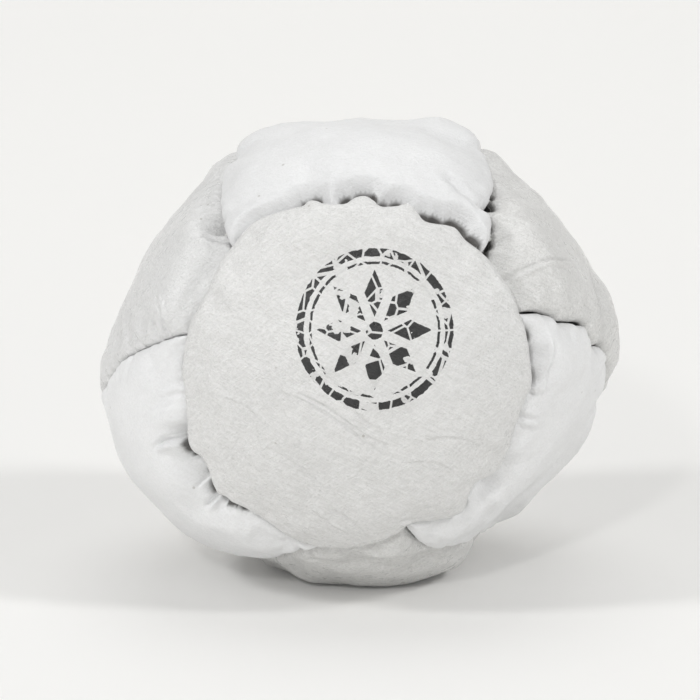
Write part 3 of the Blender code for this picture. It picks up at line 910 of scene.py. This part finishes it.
def buildPanel(panel, material, seed):
    rim, turns, paintedShadeReach, stitches = panelRim(panel)
    pole = unit(rim.mean(axis=0))
    ways = panelPoints(panel, rim, pole)
    used, faces = joinPoints(ways, len(rim), pole)
    ways = ways[used]
    distance, _ = rimDistance(ways, rim)
    lift = -turnIn(ways, distance, rim, turns)
    lift += puckers(panel, ways, rim, stitches, seed)
    lift += marksOf(panel, ways)
    lift += wrinkleLift(ways, panel)
    inland = np.clip(distance / sheet["inland"], 0, 1)
    places = ways * ballRadius
    for k, (height, waves) in enumerate(rough):
        waved = noiseWaves(places, waves, roughWaves, seed + k + 1)
        lift += height * (inland if k == 0 else 1) * waved
    radius = bagRadius(ways) + lift
    leatherSkins.append((ways[::3], radius[::3]))
    # how much painted seam shade each point gets, by the rim nearest to it
    reach = paintedShadeReach[(ways @ rim.T).argmax(axis=1)]
    paintedSeamShade = [np.clip((reach - distance) / sheet["paintedShadeBlend"] + 0.5, 0, 1) * (reach > 0.02)]
    points = [centre + ways * radius[:, None]]
    rimRadius = radius[:len(rim)]
    wallFoot = bagRadius(rim) - sewing["allowance"]
    for share in sheet["wall"]:
        # below its first row, the turned wall of every panel but the front is darkened all over
        # with painted shade
        isPaintedShade = panel != "front" and share > sheet["wall"][0]
        paintedSeamShade.append(np.full(len(rim), float(isPaintedShade)))
        points.append(centre + rim * (rimRadius + (wallFoot - rimRadius) * share)[:, None])
    faces = faces.tolist()
    upper = np.arange(len(rim))
    for k in range(len(sheet["wall"])):
        lower = np.arange(len(rim)) + len(ways) + k * len(rim)
        wall = np.stack((upper, lower, np.roll(lower, -1), np.roll(upper, -1)), axis=1)
        faces += wall.tolist()
        upper = lower
    points = np.vstack(points)
    points[:, 2] = np.maximum(points[:, 2], sheet["floor"])
    item = makeMesh(panel + "Panel", points, faces, material)
    # the painted seam shade is kept on the points, for the leather to darken them
    paintedShadeValues = item.data.attributes.new("paintedSeamShade", "FLOAT", "POINT").data
    paintedShadeValues.foreach_set("value", np.concatenate(paintedSeamShade))
    shell = item.modifiers.new("leather", "SOLIDIFY")
    shell.thickness = sheet["thickness"] * mm
    shell.offset = -1.0
    return item


def newMaterial(name):
    material = bpy.data.materials.new(name)
    material.use_nodes = True
    tree = material.node_tree
    return material, tree, tree.nodes["Principled BSDF"]


def setInputs(tree, node, inputs):
    # another node's output is linked, and a number or a colour is set on the socket itself
    for key, value in inputs.items():
        if isinstance(value, bpy.types.NodeSocket):
            tree.links.new(value, node.inputs[key])
        else:
            node.inputs[key].default_value = value


def addNode(tree, kind, inputs, **settings):
    node = tree.nodes.new("ShaderNode" + kind)
    for key, value in settings.items():
        setattr(node, key, value)
    setInputs(tree, node, inputs)
    return node.outputs


def placeOn(tree):
    return addNode(tree, "TexCoord", {})["Object"]


def mixed(tree, amount, first, second, mode="MIX"):
    inputs = {"Factor": amount, "A": first, "B": second}
    return addNode(tree, "Mix", inputs, data_type="RGBA", blend_type=mode)["Result"]


def bumped(tree, strength, depth, height, **inputs):
    # depth in mm
    inputs = {"Strength": strength, "Distance": depth * mm, "Height": height, **inputs}
    return addNode(tree, "Bump", inputs)["Normal"]


# the print on the front panel: a ring round eight lozenges, in mm from its middle
motif = {
    "middle": (1.2, 28.9),
    "rings": ((7.0, 0.38), (6.05, 0.12)),
    "petals": 8, "petalAt": 3.35, "petalHalf": (2.1, 0.95), "eye": 0.8,
    "ragged": (1500.0, 0.3),     # how fine and how deep its edges are ragged
    "ink": (0.012, 0.012, 0.012),
    "cracks": 620.0, "crackWidth": 0.055,
    "wear": (480.0, 0.4),        # how fine the wear is, and below what level the ink is gone
    "left": 0.06,                # of the ink, where it is cracked or gone
}


def printMask(tree, place):
    # 1 where the ink lies
    def math(operation, *values):
        return addNode(tree, "Math", dict(enumerate(values)), operation=operation)[0]

    apart = addNode(tree, "SeparateXYZ", {0: place})
    fineness, raggedness = motif["ragged"]
    wobble = addNode(tree, "TexNoise", {"Scale": fineness, "Vector": place})
    ragged = math("MULTIPLY", math("SUBTRACT", wobble["Fac"], 0.5), raggedness)
    x = math("SUBTRACT", math("DIVIDE", apart["X"], mm), motif["middle"][0])
    z = math("SUBTRACT", math("DIVIDE", apart["Z"], mm), motif["middle"][1])
    far = math("SQRT", math("ADD", math("MULTIPLY", x, x), math("MULTIPLY", z, z)))
    far = math("ADD", far, ragged)
    turn = math("ARCTAN2", z, x)
    sector = 2 * pi / motif["petals"]
    turned = math("MODULO", math("ADD", turn, 4 * pi + sector / 2), sector)
    inSector = math("SUBTRACT", turned, sector / 2)
    out = math("SUBTRACT", math("MULTIPLY", far, math("COSINE", inSector)), motif["petalAt"])
    side = math("MULTIPLY", far, math("SINE", inSector))
    lozenge = math("ADD", *(math("DIVIDE", math("ABSOLUTE", value), half)
                            for value, half in zip((out, side), motif["petalHalf"])))
    ink = math("MAXIMUM", math("LESS_THAN", far, motif["eye"]), math("LESS_THAN", lozenge, 1.0))
    for radius, half in motif["rings"]:
        ring = math("LESS_THAN", math("ABSOLUTE", math("SUBTRACT", far, radius)), half)
        ink = math("MAXIMUM", ink, ring)
    # the ink has cracked, and worn off in places
    cracks = addNode(tree, "TexVoronoi", {"Scale": motif["cracks"], "Vector": place},
                     feature="DISTANCE_TO_EDGE")
    whole = math("GREATER_THAN", cracks["Distance"], motif["crackWidth"])
    fineness, level = motif["wear"]
    wear = addNode(tree, "TexNoise", {"Scale": fineness, "Detail": 6.0, "Vector": place})
    kept = math("GREATER_THAN", wear["Fac"], level)
    return math("MULTIPLY", ink, math("MAXIMUM", math("MULTIPLY", whole, kept), motif["left"]))


# what the leathers share: the scale of each texture, and the range and tone of what it darkens
hide = {
    "mottle": 170.0, "mottleRange": (0.3, 0.7),
    "pores": 5600.0, "poreRange": (0.34, 0.5), "poreTone": (0.76, 0.76, 0.75),
    # two sets of drawn-out strokes: their slant in degrees, their length and their scale
    "strokes": ((27.0, 7.0, 4300.0), (-40.0, 5.0, 4800.0)),
    "strokeRange": (0.44, 0.6), "strokeTone": (0.92, 0.92, 0.917),
    "specks": 260.0, "speckRange": (0.028, 0.045), "speckTone": (0.45, 0.42, 0.38),
    "polish": 900.0, "fine": 5600.0,
    "grainDepth": 0.05, "fineDepth": 0.09,
    "coatRoughness": 0.16,
    # the dark colour of the painted shade in open seams and on the turned walls
    "paintedSeamShade": (0.13, 0.125, 0.12),
}
warmLook = {
    "colour": (0.835, 0.832, 0.824), "shade": (0.795, 0.792, 0.784), "roughness": (0.18, 0.42),
    "pores": 0.25, "fibres": 0.7, "grainScale": 2600.0, "grain": 0.6, "fine": 0.72,
    "specular": 0.5, "coat": 0.45,
}
coolLook = {
    "colour": (0.905, 0.908, 0.912), "shade": (0.865, 0.868, 0.873), "roughness": (0.32, 0.5),
    "pores": 0.15, "fibres": 0.25, "grainScale": 2600.0, "grain": 0.4, "fine": 0.45,
    "specular": 0.5, "coat": 0.15,
}
paleLook = dict(warmLook, colour=(0.825, 0.825, 0.822), shade=(0.78, 0.78, 0.778),
                pores=0.2, fibres=0.45)
duskyLook = dict(warmLook, colour=(0.83, 0.827, 0.815), shade=(0.775, 0.772, 0.76), pores=0.4)
# a darker copy of the cool leather for the top panel: painted shade that tones down the light
# falling on the top
shadedTopLook = dict(coolLook, colour=(0.84, 0.843, 0.847), shade=(0.80, 0.803, 0.808))


def leather(name, look, isPrinted=False):
    material, tree, shader = newMaterial(name)
    place = placeOn(tree)

    def texture(kind, scale, **inputs):
        return addNode(tree, "Tex" + kind, {"Vector": place, "Scale": scale, **inputs})

    def ramp(value, levels, dark, light=(1.0, 1.0, 1.0)):
        node = tree.nodes.new("ShaderNodeValToRGB")
        for stop, level, tone in zip(node.color_ramp.elements, levels, (dark, light)):
            stop.position = level
            stop.color = (*tone, 1)
        tree.links.new(value, node.inputs["Fac"])
        return node.outputs["Color"]

    # broad patches of tone, and a fine speckle of pores
    mottle = texture("Noise", hide["mottle"], Detail=3.0, Roughness=0.5)
    tone = ramp(mottle["Fac"], hide["mottleRange"], look["shade"], look["colour"])
    speckle = texture("Noise", hide["pores"], Detail=1.0, Roughness=0.6)
    pores = ramp(speckle["Fac"], hide["poreRange"], hide["poreTone"])
    tone = mixed(tree, look["pores"], tone, pores, "MULTIPLY")
    # fine strokes that the hide has been drawn out along, two ways across each other
    strokes = []
    for slant, length, scale in hide["strokes"]:
        turn, stretch = (0.0, radians(slant), 0.0), (length, 1.0, 1.0)
        drawn = addNode(tree, "Mapping", {"Vector": place, "Rotation": turn, "Scale": stretch},
                        vector_type="TEXTURE")["Vector"]
        fibres = texture("Noise", scale, Vector=drawn, Detail=0.5, Roughness=0.4,
                         Distortion=1.0)["Fac"]
        streaks = ramp(fibres, hide["strokeRange"], hide["strokeTone"])
        tone = mixed(tree, look["fibres"], tone, streaks, "MULTIPLY")
        strokes.append(fibres)
    # a few dark specks, the print, and painted shade on the edges of open seams and on the turned
    # walls
    spots = texture("Voronoi", hide["specks"], Randomness=1.0)
    specks = ramp(spots["Distance"], hide["speckRange"], hide["speckTone"])
    tone = mixed(tree, 0.5, tone, specks, "MULTIPLY")
    if isPrinted:
        tone = mixed(tree, printMask(tree, place), tone, (*motif["ink"], 1))
    paintedSeamShade = addNode(tree, "Attribute", {}, attribute_name="paintedSeamShade")["Fac"]
    tone = mixed(tree, paintedSeamShade, tone, (*hide["paintedSeamShade"], 1))
    shiny, dull = look["roughness"]
    cloudy = texture("Noise", hide["polish"], Detail=4.0)["Fac"]
    polish = addNode(tree, "MapRange", {"To Min": shiny, "To Max": dull, "Value": cloudy})
    # the grain, then a finer roughness and the strokes on top of it
    grain = addNode(tree, "TexVoronoi", {"Vector": place, "Scale": look["grainScale"]},
                    feature="DISTANCE_TO_EDGE")
    fine = texture("Noise", hide["fine"], Detail=3.0, Roughness=0.65)["Fac"]
    normal = bumped(tree, look["grain"], hide["grainDepth"], grain["Distance"])
    for height in (fine, *strokes):
        normal = bumped(tree, look["fine"], hide["fineDepth"], height, Normal=normal)
    setInputs(tree, shader, {
        "Base Color": tone, "Roughness": polish["Result"], "Normal": normal,
        "Coat Weight": look["coat"], "Coat Roughness": hide["coatRoughness"],
        "Coat Normal": normal, "Specular IOR Level": look["specular"],
    })
    return material


leathers = {
    "printed": leather("printedWhiteLeather", warmLook, isPrinted=True),
    "pale": leather("paleWhiteLeather", paleLook),
    "dusky": leather("duskyWhiteLeather", duskyLook),
    "cool": leather("coolWhiteLeather", coolLook),
    # the top panel's leather is the cool leather darkened with painted shade
    "top": leather("shadedTopWhiteLeather", shadedTopLook),
}
# each panel's node in the frame, its slot in the record and its leather
panels = {
    "front": ("panel_front", "warm_leather", "printed"),
    "upperRight": ("panel_upper_right", "warm_leather", "dusky"),
    "upperLeft": ("panel_upper_left", "warm_leather", "pale"),
    "underside": ("panel_underside", "warm_leather", "dusky"),
    "top": ("panel_top", "cool_leather", "top"),
    "lowerRight": ("panel_lower_right", "cool_leather", "cool"),
    "lowerLeft": ("panel_lower_left", "cool_leather", "cool"),
    "back": ("panel_back", "cool_leather", "cool"),
}
wrinkles = simulateLeather()
print("leather simulated as cloth")

for number, (panel, (node, slot, finish)) in enumerate(panels.items()):
    item = buildPanel(panel, leathers[finish], 100 * number)
    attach(item, "root")
    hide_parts(node)
    print("panel", panel, "made,", len(item.data.vertices), "points")

thread = {
    "size": 0.45,
    "depth": 2.8,
    "side": 0.95,      # how far it weaves out to either side of the seam
    # where it is led between two stitches, and how soon it is all the way out
    "knots": (0.0, 0.12, 0.5, 0.88), "shift": 0.06, "outBy": 8.4,
    "colour": (0.78, 0.78, 0.75), "roughness": 0.6, "sheen": 0.2,
    "twist": 1500.0, "twistDepth": 0.1,
}


def threadMaterial():
    material, tree, shader = newMaterial("waxedThread")
    plies = addNode(tree, "TexWave", {"Scale": thread["twist"], "Distortion": 1.0,
                                      "Vector": placeOn(tree)}, bands_direction="DIAGONAL")
    setInputs(tree, shader, {
        "Base Color": (*thread["colour"], 1), "Roughness": thread["roughness"],
        "Sheen Weight": thread["sheen"],
        "Normal": bumped(tree, 0.6, thread["twistDepth"], plies["Fac"]),
    })
    return material


def buildThread(name, material):
    # a running stitch down in the seam, out to one side and back to the other
    seam = lines[name]
    side = sideways(seam["line"])
    skin = bagRadius(seam["line"])
    points = []
    sign = 1
    for a, b in zip(seam["marks"], seam["marks"][1:]):
        for share in thread["knots"]:
            i = int(np.argmin(abs(seam["far"] - a - (b - a) * (thread["shift"] + share))))
            out = sign * thread["side"] * min(1.0, share * thread["outBy"])
            way = unit(seam["line"][i] + side[i] * (out / ballRadius))
            points.append(centre + way * (skin[i] - thread["depth"]))
        sign = -sign
    curve = bpy.data.curves.new(name, "CURVE")
    spline = curve.splines.new("BEZIER")
    spline.bezier_points.add(len(points) - 1)
    for knot, point in zip(spline.bezier_points, points):
        knot.co = Vector(point * mm)
        knot.handle_left_type = knot.handle_right_type = "AUTO"
    curve.materials.append(material)
    return newObject(name + "Thread", curve, dimensions="3D", use_fill_caps=True,
                     bevel_depth=thread["size"] / 2 * mm, bevel_resolution=3)


waxedThread = threadMaterial()
for name in seams:
    item = buildThread(name, waxedThread)
    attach(item, "root")
    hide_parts("thread_" + name)
print("threads sewn")

filling = {
    "depth": 1.6,
    "clear": 1.1,     # from the leather's outer face
    "channel": 1.5, "channelDepth": 4.3, "channelSlope": 0.6,    # along each seam
    "pellet": 2.1,
    "packing": 0.87, "scatter": 0.16, "sunk": 0.35,
    "colour": (0.72, 0.72, 0.7), "shade": 0.9, "cloud": 700.0, "roughness": 0.35,
}


def pelletMaterial():
    material, tree, shader = newMaterial("plasticPellets")
    cloud = addNode(tree, "TexNoise", {"Scale": filling["cloud"], "Vector": placeOn(tree)})
    shade = [part * filling["shade"] for part in filling["colour"]]
    tone = mixed(tree, cloud["Fac"], (*shade, 1), (*filling["colour"], 1))
    setInputs(tree, shader, {"Base Color": tone, "Roughness": filling["roughness"]})
    return material


def treeOf(ways):
    tree = KDTree(len(ways))
    for i, way in enumerate(ways):
        tree.insert(way, i)
    tree.balance()
    return tree


def buildFilling():
    # the outer layer of the pellets, packed up against the leather, with room for each seam
    ball = bmesh.new()
    bmesh.ops.create_icosphere(ball, subdivisions=6, radius=1.0)
    ways = unit(np.array([vertex.co for vertex in ball.verts]))
    faces = [[vertex.index for vertex in face.verts] for face in ball.faces]
    ball.free()
    radius = bagRadius(ways)
    # a pellet lies round each of these directions, which wind evenly round the bag
    skin = radius.mean() - filling["depth"]
    number = int(4 * pi * skin ** 2 / (filling["pellet"] ** 2 * filling["packing"]))
    random = np.random.default_rng(5)
    heights = 1 - 2 * (np.arange(number) + 0.5) / number
    turns = np.arange(number) * pi * (3 - 5 ** 0.5)
    flat = np.sqrt(1 - heights ** 2)
    seeds = np.stack((flat * np.cos(turns), flat * np.sin(turns), heights), axis=1)
    scatter = filling["scatter"] * filling["pellet"] / skin
    seeds = unit(seeds + random.normal(size=seeds.shape) * scatter)
    sunk = random.uniform(0, filling["sunk"], number)
    tree = treeOf(seeds)
    found = [tree.find(way) for way in ways]
    nearest = np.array([place for _, place, _ in found])
    away = np.array([far for _, _, far in found])
    half = filling["pellet"] / 2
    reach = np.clip(away * skin / half, 0, 1.15)
    bump = half * (np.sqrt(np.clip(1 - reach ** 2 * 0.75, 0, 1)) - 1) - sunk[nearest]
    seamWays = np.vstack([line["line"][::8] for line in lines.values()])
    seamAway = np.full(len(ways), 99.0)
    for part in inParts(seamWays, 100):
        near = np.clip(ways @ seamWays[part].T, -1, 1).max(axis=1)
        seamAway = np.minimum(seamAway, np.arccos(near) * ballRadius)
    slope = filling["channelSlope"]
    channel = np.clip((filling["channel"] + slope - seamAway) / slope, 0, 1)
    depth = filling["depth"] + (filling["channelDepth"] - filling["depth"]) * channel
    radius = radius - depth + bump * (1 - channel * 0.6)
    # nowhere does it press through the leather
    skins = treeOf(np.vstack([part for part, _ in leatherSkins]))
    under = np.concatenate([depths for _, depths in leatherSkins])
    limit = np.array([min(under[i] for _, i, _ in skins.find_n(way, 6)) for way in ways])
    radius = np.minimum(radius, limit - filling["clear"])
    points = centre + ways * radius[:, None]
    return makeMesh("pelletFilling", points, faces, pelletMaterial())


item = buildFilling()
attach(item, "root")
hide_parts("pellet_fill")
print("filling packed")

# a pale floor that sweeps up behind, in metres
stage = {
    "front": -0.9, "bend": 0.6, "bendRadius": 0.35, "top": 1.6, "side": 1.6,
    "colour": (0.88, 0.875, 0.86), "roughness": 0.8,
    # what the camera and the gloss see instead, and how it glows there, more at the back
    "seen": (0.85, 0.845, 0.831), "glow": (0.04, 0.3), "glowTint": (1.0, 0.995, 0.98),
    "glowBack": 0.5,
}


def floorMaterial():
    material, tree, shader = newMaterial("paleFloor")
    place = addNode(tree, "SeparateXYZ", {0: placeOn(tree)})
    low, high = stage["glow"]
    rise = addNode(tree, "MapRange", {"From Min": 0.0, "From Max": stage["glowBack"],
                                      "To Min": low, "To Max": high, "Value": place["Y"]})
    ray = addNode(tree, "LightPath", {})
    isSeen = addNode(tree, "Math", {0: ray["Is Camera Ray"], 1: ray["Is Glossy Ray"]},
                     operation="MAXIMUM")[0]
    glow = addNode(tree, "Math", {0: rise["Result"], 1: isSeen}, operation="MULTIPLY")[0]
    setInputs(tree, shader, {
        "Base Color": mixed(tree, isSeen, (*stage["colour"], 1), (*stage["seen"], 1)),
        "Roughness": stage["roughness"],
        "Emission Color": (*stage["glowTint"], 1), "Emission Strength": glow,
    })
    return material


def buildStage():
    profile = [(y, 0.0) for y in np.linspace(stage["front"], stage["bend"], 16)]
    bend = stage["bendRadius"]
    for turn in np.linspace(0, pi / 2, 13)[1:]:
        profile.append((stage["bend"] + bend * sin(turn), bend * (1 - cos(turn))))
    profile.append((stage["bend"] + bend, stage["top"]))
    points = [(x, y, z) for y, z in profile for x in (-stage["side"], stage["side"])]
    faces = [(2 * i, 2 * i + 1, 2 * i + 3, 2 * i + 2) for i in range(len(profile) - 1)]
    item = makeMesh("floor", np.array(points) / mm, faces, floorMaterial())


# where each lamp stands in metres, its size and its power
lights = {
    "overhead": ((0.0, 0.2, 0.6), 0.5, 0.9),
    "leftSide": ((-0.55, -0.25, 0.5), 0.14, 1.55),
    "rightSide": ((0.55, -0.25, 0.5), 0.14, 1.6),
    "frontLow": ((-0.14, -0.56, 0.32), 0.05, 0.75),
}
lightAim = (0.0, 0.0, 0.02)
worldLight = {"Color": (1.0, 1.0, 0.99, 1), "Strength": 0.39}


def addLight(name, place, size, power):
    data = bpy.data.lights.new(name, "AREA")
    item = newObject(name, data, shape="DISK", size=size, energy=power)
    item.location = place
    item.rotation_mode = "QUATERNION"
    item.rotation_quaternion = (Vector(lightAim) - Vector(place)).to_track_quat("-Z", "Y")


buildStage()
for name, (place, size, power) in lights.items():
    addLight(name, place, size, power)
world = bpy.data.worlds.new("studio")
world.use_nodes = True
setInputs(world.node_tree, world.node_tree.nodes["Background"], worldLight)
bpy.context.scene.world = world
print("stage and lights set")

camera = newObject("camera", bpy.data.cameras.new("camera"), lens=view["focal"],
                   sensor_width=view["sensor"], clip_start=0.01)
camera.location = eye * mm
camera.rotation_euler = (pi / 2 - tilt, 0.0, 0.0)
bpy.context.scene.camera = camera
bpy.context.scene.view_settings.view_transform = "Standard"
